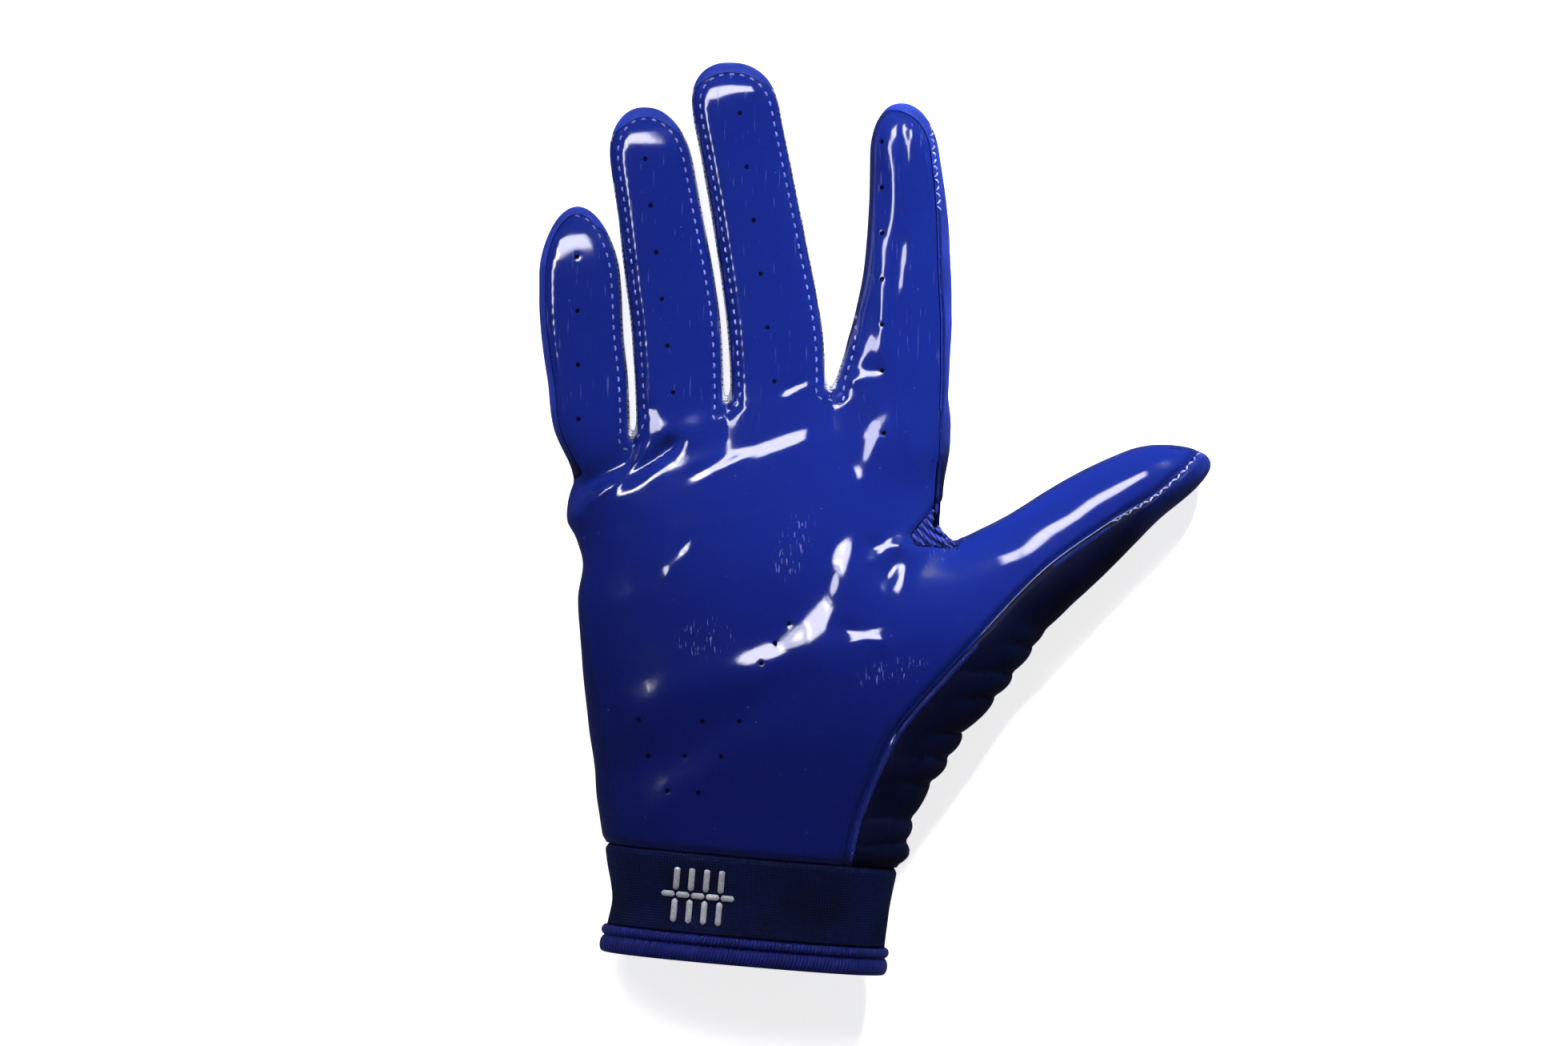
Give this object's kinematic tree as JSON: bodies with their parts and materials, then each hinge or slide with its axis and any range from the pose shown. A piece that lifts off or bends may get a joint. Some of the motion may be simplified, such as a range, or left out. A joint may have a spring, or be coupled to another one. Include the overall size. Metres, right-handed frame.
{
  "type": "football receiver glove",
  "caption": "Right-hand football receiver glove with a glossy grip palm, stretch back, finger gussets, knit cuff and rolled hem, lying palm up.",
  "frame": {"origin": "middle of the outline seen from above, at the height of the surface that the back of the hand lies on", "axes": "+X towards the thumb, +Y from the wrist to the fingertips, +Z out of the palm"},
  "size_m": [0.1672, 0.228, 0.0287],
  "materials": {
    "palm_grip": "wet-look gloss silicone, royal blue",
    "back_stretch": "dark navy stretch satin, quilted",
    "gusset_mesh": "pale grey mesh",
    "crotch_knit": "ribbed blue knit",
    "cuff_knit": "fine blue knit, matt",
    "hem_satin": "blue binding tape, soft sheen",
    "cuff_print": "silver grey transfer print"
  },
  "bodies": {
    "root": {"palm_panel": "palm_grip", "back_panel": "back_stretch", "gusset_pinky_ring": "gusset_mesh", "gusset_ring_middle": "gusset_mesh", "gusset_middle_index": "gusset_mesh", "thumb_crotch_patch": "crotch_knit", "wrist_cuff": "cuff_knit", "hem_piping": "hem_satin", "hem_binding": "hem_satin", "cuff_lace_print": "cuff_print"}
  },
  "joints": []
}
